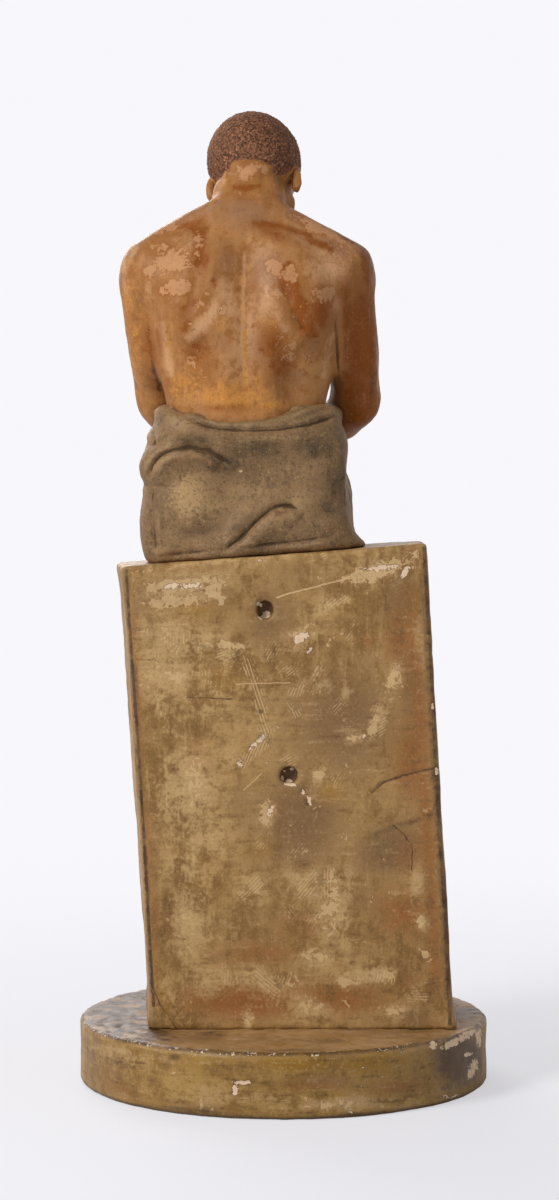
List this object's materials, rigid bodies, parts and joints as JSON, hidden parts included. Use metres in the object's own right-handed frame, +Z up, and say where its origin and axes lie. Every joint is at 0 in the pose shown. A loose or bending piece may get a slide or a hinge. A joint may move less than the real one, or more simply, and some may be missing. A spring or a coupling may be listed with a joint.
{
  "type": "draped male figure statue",
  "caption": "Painted earthenware statue of a seated man, bare to the waist, hands joined on his lap, on a tall leaning block and an oval plinth.",
  "frame": {"origin": "middle of the plinth's underside, where the statue stands", "axes": "+Z up, -Y the way the man faces, +X to the man's left; the picture looks along -Y from behind"},
  "size_m": [0.2736, 0.2956, 0.6481],
  "materials": {
    "skin": "painted earthenware, satin brown patina",
    "cloth": "painted earthenware, matt grey-brown patina",
    "stone": "painted earthenware, worn ochre patina",
    "plinth": "painted earthenware, dark ochre patina with chips"
  },
  "bodies": {
    "root": {"plinth": "plinth", "seat_block": "stone", "foot_rest": "stone", "torso": "skin", "head": "skin", "left_arm": "skin", "right_arm": "skin", "left_hand": "skin", "right_hand": "skin", "drapery_hips": "cloth", "drapery_lap": "cloth", "drapery_fall": "cloth", "left_shin": "skin", "right_shin": "skin", "left_foot": "skin", "right_foot": "skin"}
  },
  "joints": []
}
